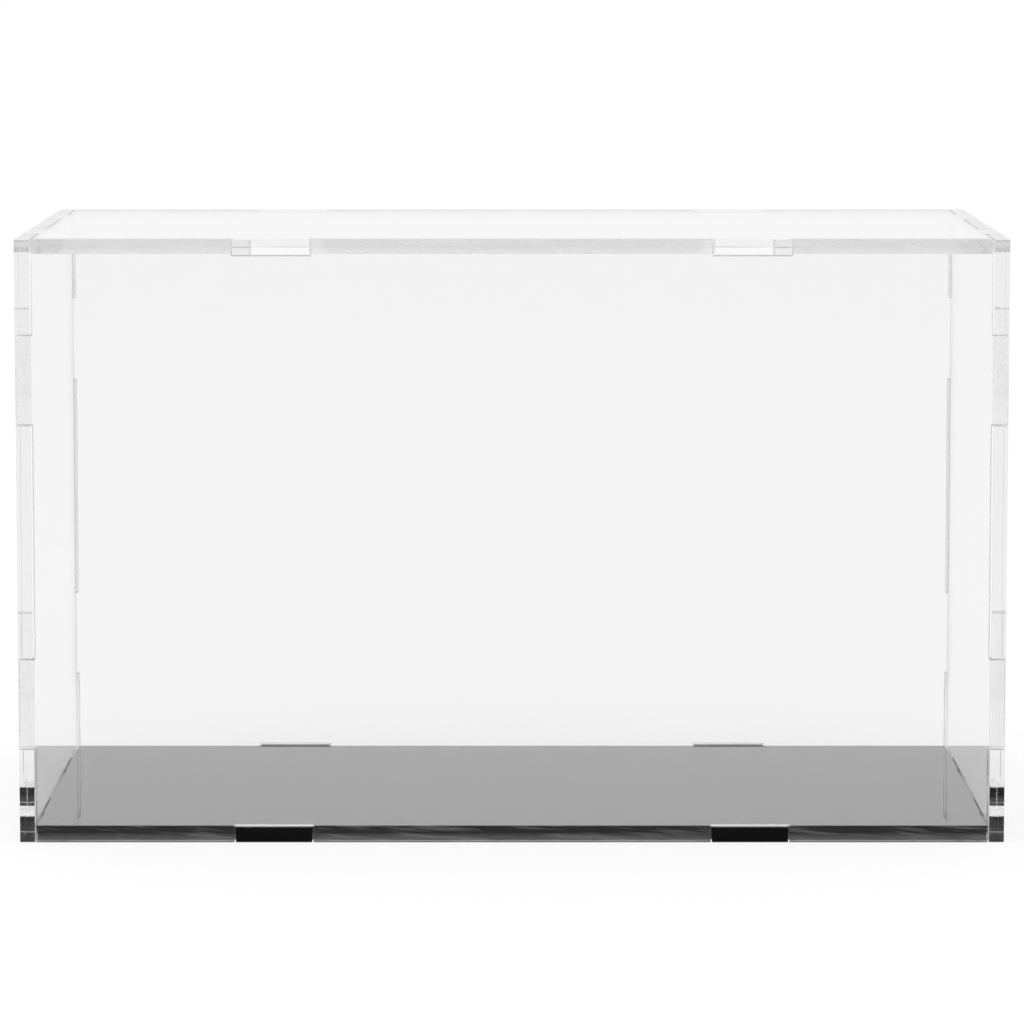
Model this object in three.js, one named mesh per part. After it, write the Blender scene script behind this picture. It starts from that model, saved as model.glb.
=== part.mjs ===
// A clear display case of laser-cut acrylic sheet on a glossy black base.
// Six flat panels lock together by tabs that lie in open notches, so each panel pulls off along its own normal.
// Millimetres, +Z up. The origin is the centre of the footprint, on the surface that the case stands on.
// The front panel faces -Y, and +X is to the viewer's right.

import * as THREE from 'three';

// Outside of the assembled case
const CASE_WIDTH = 310; // along X
const CASE_DEPTH = 170; // along Y
const CASE_HEIGHT = 190; // along Z

// Sheet that every panel is cut from
const SHEET = 4.7; // measured gauge of a nominal 5 mm acrylic sheet
const ARRIS = 0.3; // radius that eases the edge between a sheet face and its cut edge

// Gap between a panel's cut edge and the panel that it meets, all round each tab
const FIT = 0.4;

// Tabs of the base and the top that pass through the front and the back
const WIDTH_TAB = 24; // length of each tab along X
const WIDTH_TAB_PITCH = 150; // between the centres of the two tabs

// Tabs of the base and the top that pass through the sides
const DEPTH_TAB = 28; // along Y
const DEPTH_TAB_PITCH = 84;

// Tabs of the front and the back that pass through the sides
const HEIGHT_TAB = 28; // along Z
const HEIGHT_TAB_PITCH = 102;

// Segments of the eased arris, as a quarter round
const ARRIS_SEGMENTS = 2;

// A tab reaches across the gap and the neighbour's sheet, flush with its outer face.
const TAB_REACH = SHEET + FIT;
const NOTCH_DEPTH = SHEET + FIT;

// Panels that stand between two others lose a sheet and a gap at each end.
const INNER_WIDTH = CASE_WIDTH - 2 * TAB_REACH;
const INNER_DEPTH = CASE_DEPTH - 2 * TAB_REACH;

const clearAcrylic = () =>
  new THREE.MeshStandardMaterial({
    color: 0xf2f6f7,
    roughness: 0.03,
    metalness: 0,
    transparent: true,
    opacity: 0.25,
  });

const blackAcrylic = () =>
  new THREE.MeshStandardMaterial({
    color: 0x0b0b0c,
    roughness: 0.05,
    metalness: 0,
  });

// A pair of fingers on one edge: tabs stand out of the edge, notches are cut into it.
function tabs(length, pitch) {
  return { length, pitch, reach: TAB_REACH };
}

function notches(tabLength, pitch) {
  return { length: tabLength + 2 * FIT, pitch, reach: -NOTCH_DEPTH };
}

// Adds one edge of a panel to its outline, from the edge's first corner up to its second.
// The edge runs along direction through middle, and outward is the direction that leaves the panel.
function addEdge(points, middle, direction, outward, edgeLength, fingers) {
  const at = (along, out) =>
    middle.clone().addScaledVector(direction, along).addScaledVector(outward, out);
  points.push(at(-edgeLength / 2, 0));
  for (const centre of [-fingers.pitch / 2, fingers.pitch / 2]) {
    const start = centre - fingers.length / 2;
    const end = centre + fingers.length / 2;
    points.push(at(start, 0), at(start, fingers.reach), at(end, fingers.reach), at(end, 0));
  }
}

// Outline of a panel about its own centre, anticlockwise from its lower left corner.
// level holds the fingers of the bottom and top edges, upright those of the right and left edges.
function panelShape(width, height, level, upright) {
  const right = new THREE.Vector2(1, 0);
  const up = new THREE.Vector2(0, 1);
  const left = right.clone().negate();
  const down = up.clone().negate();
  const points = [];
  addEdge(points, down.clone().multiplyScalar(height / 2), right, down, width, level);
  addEdge(points, right.clone().multiplyScalar(width / 2), up, right, height, upright);
  addEdge(points, up.clone().multiplyScalar(height / 2), left, up, width, level);
  addEdge(points, left.clone().multiplyScalar(width / 2), down, left, height, upright);
  return new THREE.Shape(points);
}

// A sheet of the shape, centred on its own mid-plane, with both rims eased by the arris.
function cutPanel(name, shape, material) {
  const geometry = new THREE.ExtrudeGeometry(shape, {
    depth: SHEET - 2 * ARRIS,
    bevelEnabled: true,
    bevelSize: ARRIS,
    bevelThickness: ARRIS,
    bevelOffset: -ARRIS,
    bevelSegments: ARRIS_SEGMENTS,
  });
  geometry.translate(0, 0, ARRIS - SHEET / 2);
  const panel = new THREE.Mesh(geometry, material);
  panel.name = name;
  return panel;
}

// Front and back share one blank: it stands between the sides, with tabs on its upright edges.
function frontOrBack(name) {
  const shape = panelShape(
    INNER_WIDTH,
    CASE_HEIGHT,
    notches(WIDTH_TAB, WIDTH_TAB_PITCH),
    tabs(HEIGHT_TAB, HEIGHT_TAB_PITCH),
  );
  const panel = cutPanel(name, shape, clearAcrylic());
  panel.rotation.set(Math.PI / 2, 0, 0);
  panel.position.z = CASE_HEIGHT / 2;
  return panel;
}

// Left and right share one blank: full depth and height, notched on all four edges.
function side(name) {
  const shape = panelShape(
    CASE_DEPTH,
    CASE_HEIGHT,
    notches(DEPTH_TAB, DEPTH_TAB_PITCH),
    notches(HEIGHT_TAB, HEIGHT_TAB_PITCH),
  );
  const panel = cutPanel(name, shape, clearAcrylic());
  panel.rotation.set(Math.PI / 2, 0, Math.PI / 2, 'ZYX');
  panel.position.z = CASE_HEIGHT / 2;
  return panel;
}

// Base and top lie inside the four walls, with tabs on all four edges.
function baseOrTop(name, material) {
  const shape = panelShape(
    INNER_WIDTH,
    INNER_DEPTH,
    tabs(WIDTH_TAB, WIDTH_TAB_PITCH),
    tabs(DEPTH_TAB, DEPTH_TAB_PITCH),
  );
  return cutPanel(name, shape, material);
}

const base = baseOrTop('base_panel', blackAcrylic());
base.position.z = SHEET / 2;

const front = frontOrBack('front_panel');
front.position.y = (SHEET - CASE_DEPTH) / 2;

const back = frontOrBack('back_panel');
back.position.y = (CASE_DEPTH - SHEET) / 2;

const left = side('left_panel');
left.position.x = (SHEET - CASE_WIDTH) / 2;

const right = side('right_panel');
right.position.x = (CASE_WIDTH - SHEET) / 2;

const top = baseOrTop('top_panel', clearAcrylic());
top.position.z = CASE_HEIGHT - SHEET / 2;

// The walls and the top lift off the base together, as a cover.
const cover = new THREE.Group();
cover.add(front, back, left, right, top);

const displayCase = new THREE.Group();
displayCase.add(base, cover);

export default displayCase;
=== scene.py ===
"""Looks of a knock-down display case: five clear acrylic panels round a glossy black acrylic base.

Each panel is one cut sheet. Its outline is a rectangle with a pair of tabs or notches on every edge, and its
rim is a rounded profile carried round that outline. The faces keep the polish of the cast sheet, and the rim
keeps the lines of the laser that cut it. Lengths are in metres, +Z is up and the front panel faces -Y.
"""

import logging
import math
from dataclasses import dataclass
from enum import Enum

import bpy
import numpy as np
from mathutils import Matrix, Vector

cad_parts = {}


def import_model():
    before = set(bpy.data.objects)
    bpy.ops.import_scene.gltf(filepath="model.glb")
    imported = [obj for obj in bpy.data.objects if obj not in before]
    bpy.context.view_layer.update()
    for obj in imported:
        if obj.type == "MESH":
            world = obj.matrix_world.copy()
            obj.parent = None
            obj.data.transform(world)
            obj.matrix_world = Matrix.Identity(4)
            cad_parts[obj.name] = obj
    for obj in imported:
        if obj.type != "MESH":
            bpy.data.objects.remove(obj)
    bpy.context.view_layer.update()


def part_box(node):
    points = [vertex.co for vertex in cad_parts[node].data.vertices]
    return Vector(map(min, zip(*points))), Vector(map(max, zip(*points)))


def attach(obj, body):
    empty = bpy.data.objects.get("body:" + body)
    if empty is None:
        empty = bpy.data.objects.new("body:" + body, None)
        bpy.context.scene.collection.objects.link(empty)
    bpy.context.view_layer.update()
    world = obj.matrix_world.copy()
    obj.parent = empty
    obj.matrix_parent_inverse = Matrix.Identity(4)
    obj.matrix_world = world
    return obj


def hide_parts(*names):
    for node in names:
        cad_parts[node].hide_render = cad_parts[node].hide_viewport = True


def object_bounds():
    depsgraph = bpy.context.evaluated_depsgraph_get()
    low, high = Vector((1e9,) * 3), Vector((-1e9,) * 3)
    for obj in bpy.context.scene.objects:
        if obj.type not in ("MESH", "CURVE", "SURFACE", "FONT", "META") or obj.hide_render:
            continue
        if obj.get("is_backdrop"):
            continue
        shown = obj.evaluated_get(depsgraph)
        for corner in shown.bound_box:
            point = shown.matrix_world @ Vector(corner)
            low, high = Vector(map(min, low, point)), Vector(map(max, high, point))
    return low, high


MM = 0.001
LOG = logging.getLogger("display_case")

# On a panel's mesh, the map of its rim and the mark of the stretches that a neighbour covers
RIM_MAP = "rim"
COVERED = "covered"

# A number of bounces above this is one or more.
NO_BOUNCE = 0.5

# A mix node repeats the names of its sockets for each type of value, so they are told apart by number:
# the two numbers and the two colours that go in, and the colour that comes out.
NUMBER_A, NUMBER_B = 2, 3
COLOUR_A, COLOUR_B = 6, 7
MIXED_COLOUR = 2

Colour = tuple[float, float, float, float]
Pair = tuple[float, float]


def linear(colour: str) -> Colour:
    """Turns an sRGB hex colour to linear light.

    Args:
        colour: The colour as "#RRGGBB".

    Returns:
        Linear red, green and blue, and an alpha of 1.
    """
    shares = np.array([int(colour[at:at + 2], 16) for at in (1, 3, 5)]) / 255
    light = np.where(shares <= 0.04045, shares / 12.92, ((shares + 0.055) / 1.055) ** 2.4)
    return (*light.tolist(), 1.0)


def add_node(
    tree: bpy.types.NodeTree,
    kind: str,
    inputs: dict[str | int, object] | None = None,
    **settings: object,
) -> bpy.types.Node:
    """Adds a node with its settings and links.

    Args:
        tree: The node tree that takes the node.
        kind: Blender's name for the kind of node.
        inputs: Socket names or numbers, each with a plain value or with the output socket to link to it.
        **settings: The node's own properties.

    Returns:
        The new node.
    """
    node = tree.nodes.new(kind)
    for name, value in settings.items():
        setattr(node, name, value)
    for socket, value in (inputs or {}).items():
        if isinstance(value, bpy.types.NodeSocket):
            tree.links.new(value, node.inputs[socket])
        else:
            node.inputs[socket].default_value = value
    return node


def empty_tree(owner: bpy.types.Material | bpy.types.World) -> bpy.types.NodeTree:
    """Gives the owner's node tree with no nodes in it.

    Args:
        owner: The material or world.

    Returns:
        Its node tree.
    """
    owner.use_nodes = True
    owner.node_tree.nodes.clear()
    return owner.node_tree


@dataclass(frozen=True)
class Acrylic:
    """Cast acrylic sheet: a hard plastic that takes a glassy polish, clear or dyed through.

    Args:
        name: What the sheet is called.
        colour: Colour of the plastic, as sRGB hex.
        transmission: 1 for clear sheet, 0 for sheet that is dyed through.
        ior: Refractive index, 1.49 for acrylic.
    """

    name: str
    colour: str
    transmission: float
    ior: float = 1.49

    def surface(
        self,
        tree: bpy.types.NodeTree,
        colour: bpy.types.NodeSocket | Colour,
        roughness: bpy.types.NodeSocket,
        normal: bpy.types.NodeSocket,
        sheen: float = 0.5,
    ) -> None:
        """Ends the tree in this plastic's shader.

        Args:
            tree: The material's node tree.
            colour: Linear colour, or the output that drives it.
            roughness: Output that drives the roughness.
            normal: Output that drives the normal.
            sheen: Strength of the mirror image, 0.5 for an unbroken surface.
        """
        shader = add_node(
            tree,
            "ShaderNodeBsdfPrincipled",
            {
                "Base Color": colour,
                "Transmission Weight": self.transmission,
                "IOR": self.ior,
                "Specular IOR Level": sheen,
                "Roughness": roughness,
                "Normal": normal,
            },
        )
        add_node(tree, "ShaderNodeOutputMaterial", {"Surface": shader.outputs["BSDF"]})


@dataclass(frozen=True)
class PolishedFace:
    """Face of a cast sheet: flat to the eye, with a slow ripple from casting and a faint haze from wiping.

    Args:
        sheet: The plastic.
        ripple: Length of the casting ripple.
        ripple_height: Height of the ripple.
        haze: Size of the wiped patches.
        haze_spread: Noise levels of the clean and of the hazed patches.
        gloss: Roughness of the clean and of the hazed patches.
    """

    sheet: Acrylic
    ripple: float = 45 * MM
    ripple_height: float = 0.004 * MM
    haze: float = 18 * MM
    haze_spread: Pair = (0.45, 0.75)
    gloss: Pair = (0.0, 0.01)

    def material(self) -> bpy.types.Material:
        """Makes the face's material, on Object coordinates.

        Returns:
            The material.
        """
        material = bpy.data.materials.new(f"{self.sheet.name}_polished_face")
        tree = empty_tree(material)
        place = add_node(tree, "ShaderNodeTexCoord").outputs["Object"]
        ripple = add_node(
            tree, "ShaderNodeTexNoise", {"Vector": place, "Scale": 1 / self.ripple, "Detail": 1.0}
        )
        bump = add_node(
            tree,
            "ShaderNodeBump",
            {"Height": ripple.outputs["Fac"], "Distance": self.ripple_height, "Strength": 1.0},
        )
        haze = add_node(
            tree, "ShaderNodeTexNoise", {"Vector": place, "Scale": 1 / self.haze, "Detail": 5.0}
        )
        gloss = add_node(
            tree,
            "ShaderNodeMapRange",
            {
                "Value": haze.outputs["Fac"],
                "From Min": self.haze_spread[0],
                "From Max": self.haze_spread[1],
                "To Min": self.gloss[0],
                "To Max": self.gloss[1],
            },
        )
        self.sheet.surface(
            tree, linear(self.sheet.colour), gloss.outputs["Result"], bump.outputs["Normal"]
        )
        return material


@dataclass(frozen=True)
class LaserCut:
    """Laser-cut edge of a sheet: buffed where it shows, with the cutter's lines where a neighbour covers it,
    and painted shade and painted light in its colours.

    Args:
        sheet: The plastic.
        name: Word that tells this cut from others of the same plastic.
        buffed: Colour of the buffed stretches, as sRGB hex. On clear sheet it is a light grey that is painted
            shade.
        lines_and_painted_light: Colours of the darkest and the lightest line, as sRGB hex. On clear sheet
            their grey is painted shade; on black sheet their paleness is painted reflection.
        gloss: Roughness of the buffed and of the covered stretches.
        sheen: Strength of the mirror image.
        line_length: Length of a line along the edge.
        line_width: Width of a line across the edge. Real lines are finer, and would not show.
        line_lean: Angle of the lines to the edge, in degrees: they trail behind the beam.
        line_height: Height of a line.
        line_crest: Noise level at which a line is as rough as it gets.
        line_spread: Noise levels of the darkest and of the lightest line.
        line_tone: Share of the way to the lightest colour that a line goes.
        painted_low_light: Width of the lower stretch of the cut, which is painted lighter: painted reflection
            on black sheet, painted light on clear.
        painted_low_light_blur: Width over which that painted light fades out.
        painted_low_light_tone: Share of the way to the lightest colour that the painted light goes.
    """

    sheet: Acrylic
    name: str
    buffed: str
    lines_and_painted_light: tuple[str, str]
    gloss: Pair = (0.01, 0.3)
    sheen: float = 0.5
    line_length: float = 24 * MM
    line_width: float = 1.4 * MM
    line_lean: float = 5.0
    line_height: float = 0.004 * MM
    line_crest: float = 0.7
    line_spread: Pair = (0.48, 0.68)
    line_tone: float = 0.45
    # These three paint light into the lower stretch of the cut.
    painted_low_light: float = 1.8 * MM
    painted_low_light_blur: float = 1.6 * MM
    painted_low_light_tone: float = 0.55

    def lines(self, tree: bpy.types.NodeTree, run: bpy.types.NodeSocket) -> bpy.types.NodeSocket:
        """Draws the cutter's lines as noise that is stretched along the edge and leans to it.

        Args:
            tree: The material's node tree.
            run: The rim's map, in metres along and across the edge.

        Returns:
            The noise level, about 0.5 in the mean.
        """
        stretched = add_node(
            tree,
            "ShaderNodeMapping",
            {
                "Vector": run,
                "Rotation": (0.0, 0.0, -math.radians(self.line_lean)),
                "Scale": (self.line_length, self.line_width, 1.0),
            },
            vector_type="TEXTURE",
        )
        noise = add_node(
            tree,
            "ShaderNodeTexNoise",
            {"Vector": stretched.outputs["Vector"], "Scale": 1.0, "Detail": 3.0},
            noise_dimensions="2D",
        )
        return noise.outputs["Fac"]

    def colour(
        self,
        tree: bpy.types.NodeTree,
        run: bpy.types.NodeSocket,
        covered: bpy.types.NodeSocket,
        lines: bpy.types.NodeSocket,
    ) -> bpy.types.NodeSocket:
        """Colours the cut: the painted light of the lower stretch and the lines add up to the share of the
        lightest line's colour.

        Args:
            tree: The material's node tree.
            run: The rim's map, in metres along and across the edge.
            covered: 1 where a neighbour covers the cut, 0 where it shows.
            lines: Noise level of the lines.

        Returns:
            The colour.
        """
        across = add_node(tree, "ShaderNodeSeparateXYZ", {0: run}).outputs["Y"]
        # The lower stretch of the cut is painted lighter: painted light.
        painted_low_light = add_node(
            tree,
            "ShaderNodeMapRange",
            {
                "Value": across,
                "From Min": self.painted_low_light + self.painted_low_light_blur / 2,
                "From Max": self.painted_low_light - self.painted_low_light_blur / 2,
                "To Max": self.painted_low_light_tone,
            },
        )
        streak = add_node(
            tree,
            "ShaderNodeMapRange",
            {
                "Value": lines,
                "From Min": self.line_spread[0],
                "From Max": self.line_spread[1],
                "To Max": self.line_tone,
            },
        )
        tone = add_node(
            tree,
            "ShaderNodeMath",
            {0: painted_low_light.outputs["Result"], 1: streak.outputs["Result"]},
            operation="ADD",
        )
        # These colours lay painted shade on clear sheet and painted reflection on black sheet over the
        # cutter's lines.
        darkest, lightest = (linear(colour) for colour in self.lines_and_painted_light)
        lines_and_painted_light = add_node(
            tree,
            "ShaderNodeMix",
            {"Factor": tone.outputs[0], COLOUR_A: darkest, COLOUR_B: lightest},
            data_type="RGBA",
        )
        mixed = add_node(
            tree,
            "ShaderNodeMix",
            {"Factor": covered, COLOUR_A: linear(self.buffed), COLOUR_B: lines_and_painted_light.outputs[MIXED_COLOUR]},
            data_type="RGBA",
        )
        return mixed.outputs[MIXED_COLOUR]

    def material(self) -> bpy.types.Material:
        """Makes the cut's material, on the rim's own map of run and width.

        Returns:
            The material.
        """
        material = bpy.data.materials.new(f"{self.sheet.name}_{self.name}_cut")
        tree = empty_tree(material)
        run = add_node(tree, "ShaderNodeUVMap", uv_map=RIM_MAP).outputs["UV"]
        covered = add_node(tree, "ShaderNodeAttribute", attribute_name=COVERED).outputs["Fac"]
        lines = self.lines(tree, run)
        depth = add_node(tree, "ShaderNodeMath", {0: lines, 1: covered}, operation="MULTIPLY")
        bump = add_node(
            tree,
            "ShaderNodeBump",
            {"Height": depth.outputs[0], "Distance": self.line_height, "Strength": 1.0},
        )
        gloss = add_node(
            tree,
            "ShaderNodeMapRange",
            {
                "Value": depth.outputs[0],
                "From Max": self.line_crest,
                "To Min": self.gloss[0],
                "To Max": self.gloss[1],
            },
        )
        self.sheet.surface(
            tree,
            self.colour(tree, run, covered, lines),
            gloss.outputs["Result"],
            bump.outputs["Normal"],
            self.sheen,
        )
        return material


class Lie(Enum):
    """How a panel lies: the frame's directions along its width, along its height and out of its face."""

    LEVEL = ((1, 0, 0), (0, 1, 0), (0, 0, 1))
    FACING = ((1, 0, 0), (0, 0, 1), (0, -1, 0))
    SIDEWAYS = ((0, 1, 0), (0, 0, 1), (1, 0, 0))


@dataclass(frozen=True)
class Fingers:
    """A pair of tabs or notches on one edge.

    Args:
        length: Length of each along the edge.
        pitch: Distance between their centres, which lie evenly about the middle of the edge.
        reach: How far they stand out of the edge, below zero for a notch.
    """

    length: float
    pitch: float
    reach: float


@dataclass
class Panel:
    """One cut sheet of the case.

    Args:
        node: Name of the solid that the panel stands for.
        body: The moving body that carries it.
        slot: The record's material slot; not used.
        lie: How the panel lies in the case.
        level: Fingers of its lower and upper edges.
        upright: Fingers of its left and right edges.
        arris: Radius that eases the edge between a face and the rim.
        corner: Radius of the outline's corners, no less than the arris.
        arris_steps: Facets across each eased edge.
        corner_steps: Facets round each corner of the outline.
    """

    node: str
    body: str
    slot: str
    lie: Lie
    level: Fingers
    upright: Fingers
    arris: float = 0.15 * MM
    corner: float = 0.2 * MM
    arris_steps: int = 4
    corner_steps: int = 4

    def sizes(self) -> tuple[np.ndarray, np.ndarray]:
        """Reads the panel's place and size from its solid.

        Returns:
            The centre in the frame, and the width and height without tabs, and the gauge.
        """
        low, high = (np.array(corner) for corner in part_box(self.node))
        axes = np.array(self.lie.value, float)
        span = np.abs(axes @ (high - low))
        tabs = 2 * np.array([max(self.upright.reach, 0.0), max(self.level.reach, 0.0), 0.0])
        return (low + high) / 2, span - tabs

    def corners(self, width: float, height: float) -> np.ndarray:
        """Lays out the outline's corners, anticlockwise from the lower left.

        Each edge is a row of nine points: its first corner, then four for each finger, that go out by the
        reach and back. The four edges are the same row turned by quarter turns.

        Args:
            width: Width between the upright edges.
            height: Height between the level edges.

        Returns:
            An array of points, 36 by 2.
        """
        directions = np.array([[1, 0], [0, 1], [-1, 0], [0, -1]])
        edges = [(width, height, self.level), (height, width, self.upright)] * 2
        rows = []
        for forward, (length, between, fingers) in zip(directions, edges):
            outward = np.array([forward[1], -forward[0]])
            ends = np.array([-1, -1, 1, 1]) * fingers.length / 2
            along = np.concatenate([[-length / 2], ends - fingers.pitch / 2, ends + fingers.pitch / 2])
            out = fingers.reach * np.array([0, 0, 1, 1, 0, 0, 1, 1, 0])
            rows.append(along[:, None] * forward + (out + between / 2)[:, None] * outward)
        return np.concatenate(rows)

    def outline(self, width: float, height: float) -> tuple[np.ndarray, np.ndarray]:
        """Rounds every corner of the outline with a quarter circle.

        With a and b the directions before and after a corner P and r the radius, the circle's centre is
        P - r a + r b, and its points are the centre plus r (a sin t - b cos t) for t over a quarter turn.

        Args:
            width: Width between the upright edges.
            height: Height between the level edges.

        Returns:
            The points of the outline and the directions that leave the panel there.
        """
        corners = self.corners(width, height)
        after = np.roll(corners, -1, axis=0) - corners
        after /= np.linalg.norm(after, axis=1, keepdims=True)
        before = np.roll(after, 1, axis=0)
        turn = np.linspace(0, math.pi / 2, self.corner_steps + 1)[None, :, None]
        spoke = before[:, None] * np.sin(turn) - after[:, None] * np.cos(turn)
        centre = corners + self.corner * (after - before)
        points = centre[:, None] + self.corner * spoke
        left_turn = before[:, 0] * after[:, 1] - before[:, 1] * after[:, 0]
        normals = spoke * left_turn[:, None, None]
        return points.reshape(-1, 2), normals.reshape(-1, 2)

    def profile(self, gauge: float) -> np.ndarray:
        """Draws the rim's section from one face to the other: a quarter round, the cut, a quarter round.

        At angle t from -90 to 90 degrees the inset from the cut is r (1 - cos t) and the height is r sin t,
        moved apart by half the gauge less r.

        Args:
            gauge: Thickness of the sheet.

        Returns:
            Rows of inset, height, outward share of the normal and upward share of the normal.
        """
        quarter = np.linspace(0, math.pi / 2, self.arris_steps + 1)
        angle = np.concatenate([-quarter[::-1], quarter])
        side = np.repeat([-1.0, 1.0], self.arris_steps + 1)
        inset = self.arris * (1 - np.cos(angle))
        height = self.arris * np.sin(angle) + side * (gauge / 2 - self.arris)
        return np.stack([inset, height, np.cos(angle), np.sin(angle)])

    def build(self) -> bpy.types.Object:
        """Carries the profile round the outline and closes both faces.

        A rim point is the outline's point less inset times its outward direction, at the profile's height.

        Returns:
            The panel, with its polished faces in material slot 0 and its rim in slot 1.
        """
        centre, (width, height, gauge) = self.sizes()
        outline, outward = self.outline(width, height)
        inset, rise, share_out, share_up = (row[:, None, None] for row in self.profile(gauge))
        flat = outline[None] - inset * outward[None]
        rows, columns = flat.shape[:2]
        level = np.ones((1, columns, 1))
        axes = np.array(self.lie.value, float)
        points = np.concatenate([flat, rise * level], axis=2).reshape(-1, 3) @ axes + centre
        leaning = np.concatenate([share_out * outward[None], share_up * level], axis=2).reshape(-1, 3) @ axes

        index = np.arange(rows * columns).reshape(rows, columns)
        beside = np.roll(index, -1, axis=1)
        rim = np.stack([index[:-1], beside[:-1], beside[1:], index[1:]], axis=-1).reshape(-1, 4)
        faces = [index[-1].tolist(), index[0, ::-1].tolist(), *rim.tolist()]

        mesh = bpy.data.meshes.new(self.node)
        mesh.from_pydata(points.tolist(), [], faces)
        in_rim = np.repeat([0, 1], [2, len(rim)]).astype(np.int32)
        mesh.polygons.foreach_set("material_index", in_rim)
        mesh.polygons.foreach_set("use_smooth", np.ones(len(faces), bool))
        self.map_rim(mesh, outline, inset[:, 0, 0], rise[:, 0, 0], flat)
        self.mark_covered(mesh, outline, rows)
        mesh.normals_split_custom_set_from_vertices(leaning.tolist())
        mesh.update()
        panel = bpy.data.objects.new(f"{self.node}_sheet", mesh)
        bpy.context.scene.collection.objects.link(panel)
        return panel

    def map_rim(
        self,
        mesh: bpy.types.Mesh,
        outline: np.ndarray,
        inset: np.ndarray,
        rise: np.ndarray,
        flat: np.ndarray,
    ) -> None:
        """Writes the panel's map, in metres.

        On the rim it holds the run along the outline and the run across the profile, and on the faces plain
        width and height.

        Args:
            mesh: The panel's mesh, its two faces first and its rim after them.
            outline: Points of the outline.
            inset: The profile's insets.
            rise: The profile's heights.
            flat: Every point's place across the panel, by profile row and outline column.
        """
        steps = np.linalg.norm(np.roll(outline, -1, axis=0) - outline, axis=1)
        along = np.concatenate([[0.0], np.cumsum(steps)])
        across = np.concatenate([[0.0], np.cumsum(np.hypot(np.diff(inset), np.diff(rise)))])
        low, start = np.meshgrid(across[:-1], along[:-1], indexing="ij")
        high, end = np.meshgrid(across[1:], along[1:], indexing="ij")
        rim = np.stack(
            [
                np.stack([start, low], axis=-1),
                np.stack([end, low], axis=-1),
                np.stack([end, high], axis=-1),
                np.stack([start, high], axis=-1),
            ],
            axis=2,
        )
        whole = np.concatenate([flat[-1], flat[0, ::-1], rim.reshape(-1, 2)])
        mesh.uv_layers.new(name=RIM_MAP).data.foreach_set("uv", whole.ravel())

    def mark_covered(self, mesh: bpy.types.Mesh, outline: np.ndarray, rows: int) -> None:
        """Marks the stretches of the rim that lie a finger's reach inside the panel's bounds.

        Those meet a neighbour's face, so the mark is the depth inside the bounds over the shorter reach.

        Args:
            mesh: The panel's mesh.
            outline: Points of the outline.
            rows: Points across the rim's profile.
        """
        inside = (outline.max(axis=0) - np.abs(outline)).min(axis=1)
        reach = min(abs(self.level.reach), abs(self.upright.reach))
        covered = np.clip(inside / reach, 0.0, 1.0)
        mark = mesh.attributes.new(COVERED, "FLOAT", "POINT")
        mark.data.foreach_set("value", np.tile(covered, rows).astype(np.float32))

    def dress(self, panel: bpy.types.Object, face: bpy.types.Material, cut: bpy.types.Material) -> None:
        """Gives the panel its finishes, hangs it on its body and hides its solid.

        Args:
            panel: The panel's object.
            face: Material of both faces.
            cut: Material of the rim.
        """
        panel.data.materials.append(face)
        panel.data.materials.append(cut)
        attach(panel, self.body)
        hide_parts(self.node)


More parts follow.
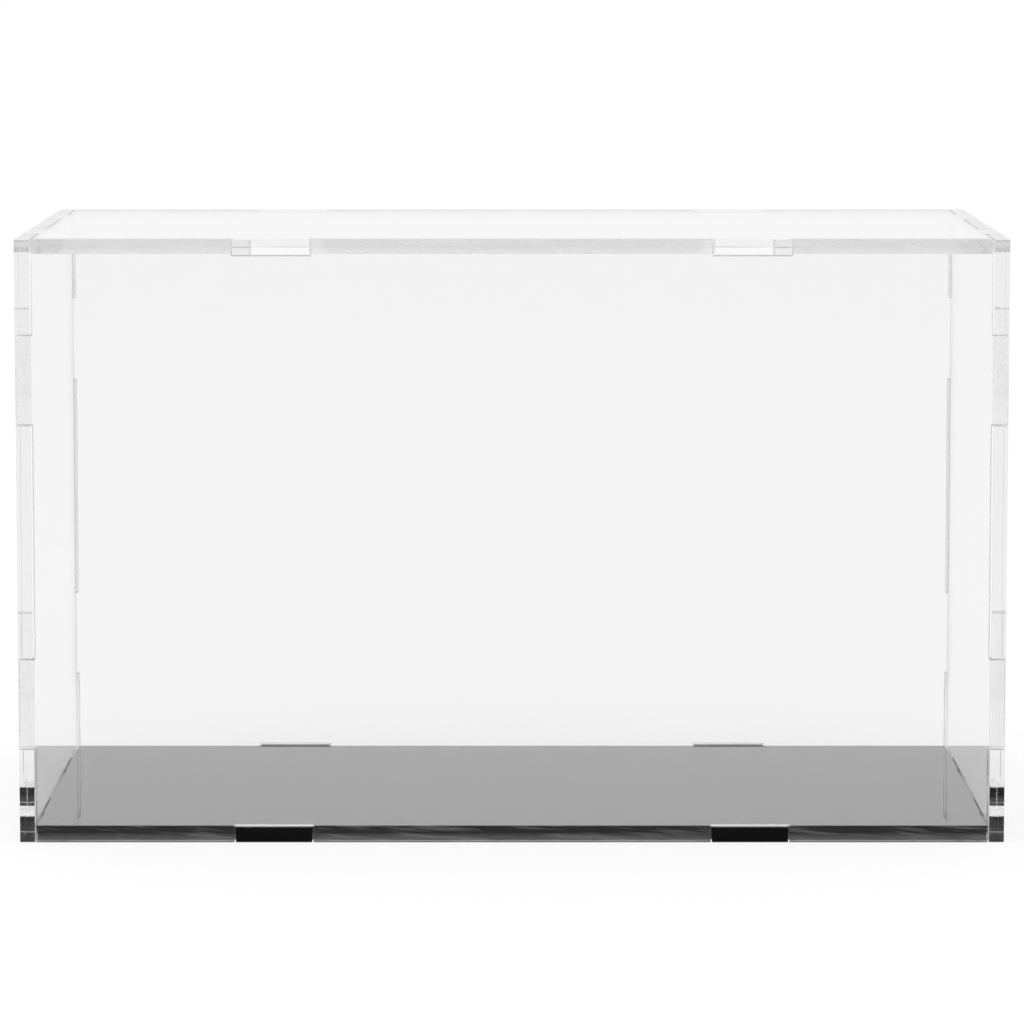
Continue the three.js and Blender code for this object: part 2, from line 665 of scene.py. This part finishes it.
@dataclass(frozen=True)
class DisplayCase:
    """The case: six sheets of one gauge that lock together by tabs in open notches.

    Args:
        fit: Gap between a cut edge and the panel that it meets.
        width_tab: Length and pitch of the tabs that pass through the front and the back.
        depth_tab: Length and pitch of the base's and the top's tabs that pass through the sides.
        height_tab: Length and pitch of the front's and the back's tabs that pass through the sides.
        clear: Sheet of the walls and the top.
        black: Sheet of the base.
    """

    fit: float = 0.4 * MM
    width_tab: Pair = (24 * MM, 150 * MM)
    depth_tab: Pair = (28 * MM, 84 * MM)
    height_tab: Pair = (28 * MM, 102 * MM)
    clear: Acrylic = Acrylic("clear_cast_acrylic", "#FEFEFE", 1.0)
    black: Acrylic = Acrylic("black_cast_acrylic", "#060607", 0.0)

    def tab(self, size: Pair, gauge: float) -> Fingers:
        """Gives tabs that reach across the gap and the neighbour's sheet."""
        return Fingers(size[0], size[1], gauge + self.fit)

    def notch(self, size: Pair, gauge: float) -> Fingers:
        """Gives notches that take such tabs with the gap all round them."""
        return Fingers(size[0] + 2 * self.fit, size[1], -gauge - self.fit)

    def panels(self) -> list[Panel]:
        """Lays out the six panels, the base first.

        Returns:
            The panels.
        """
        low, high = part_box("base_panel")
        gauge = high.z - low.z
        across = self.tab(self.width_tab, gauge)
        along = self.tab(self.depth_tab, gauge)
        upright = self.tab(self.height_tab, gauge)
        across_notch = self.notch(self.width_tab, gauge)
        along_notch = self.notch(self.depth_tab, gauge)
        upright_notch = self.notch(self.height_tab, gauge)
        return [
            Panel("base_panel", "base", "black_acrylic", Lie.LEVEL, across, along),
            Panel("back_panel", "back_wall", "clear_acrylic", Lie.FACING, across_notch, upright),
            Panel("front_panel", "front_wall", "clear_acrylic", Lie.FACING, across_notch, upright),
            Panel("left_panel", "left_wall", "clear_acrylic", Lie.SIDEWAYS, along_notch, upright_notch),
            Panel("right_panel", "right_wall", "clear_acrylic", Lie.SIDEWAYS, along_notch, upright_notch),
            Panel("top_panel", "top", "clear_acrylic", Lie.LEVEL, across, along),
        ]

    def build(self) -> None:
        """Builds and dresses every panel, and reports it."""
        # Cast between glass plates: clear as glass, and the slow ripple bends what it mirrors a little.
        clear_face = PolishedFace(self.clear).material()
        # Laser-cut and buffed: the edge glows with the light that the sheet gathers, and stays frosted where
        # only the cutter has been. Grey is painted in there as shade, most on the front and the back, so that
        # each corner reads as a thin grey line, and a little on the top, which has a soft grey band. The
        # buffed stretches are painted a light grey as shade too.
        clear_cuts = {
            Lie.SIDEWAYS: LaserCut(self.clear, "side", "#F2F2F2", ("#FAFAFA", "#FFFFFF")).material(),
            Lie.FACING: LaserCut(self.clear, "front", "#F2F2F2", ("#C0C0C0", "#E0E0E0")).material(),
            Lie.LEVEL: LaserCut(self.clear, "top", "#FCFCFC", ("#EDEDED", "#FDFDFD")).material(),
        }
        # Dyed through: no light comes out of it, so the eye sees only the room that it mirrors.
        black_face = PolishedFace(self.black, gloss=(0.0, 0.02)).material()
        # A cut through dyed sheet: a dull black edge with the cutter's lines as pale streaks. The paleness of
        # the streaks and the paler lower stretch are painted reflection.
        black_cut = LaserCut(
            self.black, "base", "#101011", ("#030303", "#959595"), gloss=(0.05, 0.3), sheen=0.15
        ).material()
        for panel in self.panels():
            piece = panel.build()
            if panel.node == "base_panel":
                panel.dress(piece, black_face, black_cut)
            else:
                panel.dress(piece, clear_face, clear_cuts[panel.lie])
            LOG.info("%s on %s, %d faces", piece.name, panel.body, len(piece.data.polygons))


@dataclass(frozen=True)
class Studio:
    """A white floor under soft light, and a camera in front of the case that looks slightly down.

    Args:
        standoff: Distance from the front panel to the camera.
        eye_height: Height of the camera.
        look_down: Angle below the horizon, in degrees.
        lens: Focal length on a 36 mm sensor, in millimetres.
        floor_reach: Distance from the middle of the floor to its edges.
        floor_drop: Air gap between the case and the floor, which keeps their faces apart.
        floor_shade: Share of the floor's white that comes from the light on it, and so takes the shadow.
        floor_sheen: Share of the rest that an outer face mirrors.
        lane: Distances to either side at which the unlit lane in front of the case starts and ends its fade.
        sky: Strength of the even light from all round.
        softbox: Power of the lamp overhead, in watts.
        softbox_size: Side of the square lamp.
        softbox_place: Where the lamp hangs.
        horizon: How bright the far end of the room looks in polished faces and clear edges.
        wall: How bright the room looks there above its far end.
        ceiling: How bright its zenith looks there.
        wall_rise: Heights, as sines of the elevation, between which the far end gives way to the wall.
        ceiling_rise: Heights between which the wall gives way to the ceiling.
        bounces: Most times that light may bounce.
    """

    standoff: float = 1610.3 * MM
    eye_height: float = 288.1 * MM
    look_down: float = 6.496
    lens: float = 182.14
    floor_reach: float = 60.0
    floor_drop: float = 0.3 * MM
    floor_shade: float = 0.22
    floor_sheen: float = 0.2
    lane: Pair = (0.4, 1.0)
    sky: float = 0.85
    softbox: float = 5.0
    softbox_size: float = 1.6
    softbox_place: tuple[float, float, float] = (-0.5, -0.3, 1.9)
    horizon: float = 0.93
    wall: float = 1.0
    ceiling: float = 0.35
    wall_rise: Pair = (0.07, 0.14)
    ceiling_rise: Pair = (0.45, 0.7)
    bounces: int = 96

    def place_camera(self) -> None:
        """Sets the camera square to the front panel, above its middle."""
        low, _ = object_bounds()
        data = bpy.data.cameras.new("camera")
        data.lens = self.lens
        camera = bpy.data.objects.new("camera", data)
        camera.location = (0.0, low.y - self.standoff, self.eye_height)
        camera.rotation_euler = (math.radians(90 - self.look_down), 0.0, 0.0)
        bpy.context.scene.collection.objects.link(camera)
        bpy.context.scene.camera = camera

    def floor_glow(self, tree: bpy.types.NodeTree, front: float) -> bpy.types.NodeSocket:
        """Works out how brightly the floor glows for each ray.

        The camera, mirrors and clear panels see the glow. An outer face mirrors it only in part, and so does
        any face that mirrors the lane in front of the case, where no light stands.

        Args:
            tree: The floor's node tree.
            front: Where the case's front is, along Y.

        Returns:
            The strength of the glow.
        """
        rays = add_node(tree, "ShaderNodeLightPath").outputs
        seen = add_node(
            tree, "ShaderNodeMath", {0: rays["Is Camera Ray"], 1: rays["Is Glossy Ray"]}, operation="MAXIMUM"
        )
        mirrored = add_node(
            tree, "ShaderNodeMath", {0: rays["Glossy Depth"], 1: NO_BOUNCE}, operation="GREATER_THAN"
        )
        outside = add_node(
            tree, "ShaderNodeMath", {0: rays["Transmission Depth"], 1: NO_BOUNCE}, operation="LESS_THAN"
        )
        place = add_node(tree, "ShaderNodeTexCoord").outputs["Object"]
        spot = add_node(tree, "ShaderNodeSeparateXYZ", {0: place}).outputs
        ahead = add_node(tree, "ShaderNodeMath", {0: spot["Y"], 1: front}, operation="LESS_THAN")
        aside = add_node(tree, "ShaderNodeMath", {0: spot["X"]}, operation="ABSOLUTE")
        near = add_node(
            tree,
            "ShaderNodeMapRange",
            {
                "Value": aside.outputs[0],
                "From Min": self.lane[0],
                "From Max": self.lane[1],
                "To Min": 1.0,
                "To Max": 0.0,
            },
        )
        lane = add_node(
            tree, "ShaderNodeMath", {0: ahead.outputs[0], 1: near.outputs["Result"]}, operation="MULTIPLY"
        )
        unlit = add_node(
            tree, "ShaderNodeMath", {0: outside.outputs[0], 1: lane.outputs[0]}, operation="MAXIMUM"
        )
        dimmed = add_node(
            tree, "ShaderNodeMath", {0: mirrored.outputs[0], 1: unlit.outputs[0]}, operation="MULTIPLY"
        )
        white = 1 - self.floor_shade * self.sky
        strength = add_node(
            tree,
            "ShaderNodeMapRange",
            {"Value": dimmed.outputs[0], "To Min": white, "To Max": white * self.floor_sheen},
        )
        glow = add_node(
            tree,
            "ShaderNodeMath",
            {0: seen.outputs[0], 1: strength.outputs["Result"]},
            operation="MULTIPLY",
        )
        return glow.outputs[0]

    def lay_floor(self) -> None:
        """Lays the floor: a plain grey that takes the case's shadow, and a glow that lifts it to white."""
        # Taken before the floor is there, so that these are the case's bounds alone.
        low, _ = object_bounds()
        corners = np.array([[-1, -1, 0], [1, -1, 0], [1, 1, 0], [-1, 1, 0]]) * self.floor_reach
        corners[:, 2] = -self.floor_drop
        mesh = bpy.data.meshes.new("floor")
        mesh.from_pydata(corners.tolist(), [], [(0, 1, 2, 3)])
        floor = bpy.data.objects.new("floor", mesh)
        bpy.context.scene.collection.objects.link(floor)

        material = bpy.data.materials.new("white_studio_floor")
        tree = empty_tree(material)
        light = add_node(tree, "ShaderNodeEmission", {"Strength": self.floor_glow(tree, low.y)})
        shade = (self.floor_shade, self.floor_shade, self.floor_shade, 1.0)
        grey = add_node(tree, "ShaderNodeBsdfDiffuse", {"Color": shade})
        both = add_node(tree, "ShaderNodeAddShader", {0: light.outputs[0], 1: grey.outputs[0]})
        add_node(tree, "ShaderNodeOutputMaterial", {"Surface": both.outputs[0]})
        mesh.materials.append(material)
        floor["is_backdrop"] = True

    def hang_lamp(self) -> None:
        """Hangs one large soft lamp over the case."""
        lamp = bpy.data.lights.new("softbox", "AREA")
        lamp.energy = self.softbox
        lamp.size = self.softbox_size
        holder = bpy.data.objects.new("softbox", lamp)
        holder.location = self.softbox_place
        bpy.context.scene.collection.objects.link(holder)

    def light_room(self) -> None:
        """Lights an even white room, which looks dimmer at its far end and its ceiling in polished faces."""
        world = bpy.data.worlds.new("studio")
        tree = empty_tree(world)
        rays = add_node(tree, "ShaderNodeLightPath").outputs
        mirrored = add_node(
            tree,
            "ShaderNodeMath",
            {0: rays["Is Glossy Ray"], 1: rays["Is Transmission Ray"]},
            operation="MAXIMUM",
        )
        aim = add_node(tree, "ShaderNodeTexCoord").outputs["Generated"]
        height = add_node(tree, "ShaderNodeSeparateXYZ", {0: aim}).outputs["Z"]
        lower = add_node(
            tree,
            "ShaderNodeMapRange",
            {
                "Value": height,
                "From Min": self.wall_rise[0],
                "From Max": self.wall_rise[1],
                "To Min": self.horizon,
                "To Max": self.wall,
            },
        )
        upper = add_node(
            tree,
            "ShaderNodeMapRange",
            {
                "Value": height,
                "From Min": self.ceiling_rise[0],
                "From Max": self.ceiling_rise[1],
                "To Min": self.wall,
                "To Max": self.ceiling,
            },
        )
        room = add_node(
            tree,
            "ShaderNodeMath",
            {0: lower.outputs["Result"], 1: upper.outputs["Result"]},
            operation="MINIMUM",
        )
        shown = add_node(
            tree,
            "ShaderNodeMix",
            {"Factor": mirrored.outputs[0], NUMBER_A: self.sky, NUMBER_B: room.outputs[0]},
        )
        seen = add_node(
            tree,
            "ShaderNodeMix",
            {"Factor": rays["Is Camera Ray"], NUMBER_A: shown.outputs[0], NUMBER_B: 1.0},
        )
        sky = add_node(
            tree, "ShaderNodeBackground", {"Color": linear("#FFFFFF"), "Strength": seen.outputs[0]}
        )
        add_node(tree, "ShaderNodeOutputWorld", {"Surface": sky.outputs[0]})
        bpy.context.scene.world = world

    def set_up(self) -> None:
        """Sets the camera, floor, light and the plain view of colours."""
        self.place_camera()
        self.lay_floor()
        self.hang_lamp()
        self.light_room()
        scene = bpy.context.scene
        scene.view_settings.view_transform = "Standard"
        # A sheet pipes light from edge to edge with dozens of mirrorings, and too few leave its ends black.
        scene.cycles.max_bounces = self.bounces
        scene.cycles.transmission_bounces = self.bounces
        scene.cycles.glossy_bounces = self.bounces


def main() -> None:
    """Loads the frame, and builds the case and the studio."""
    logging.basicConfig(level=logging.INFO, format="%(name)s: %(message)s")
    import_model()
    DisplayCase().build()
    Studio().set_up()


if __name__ == "__main__":
    main()
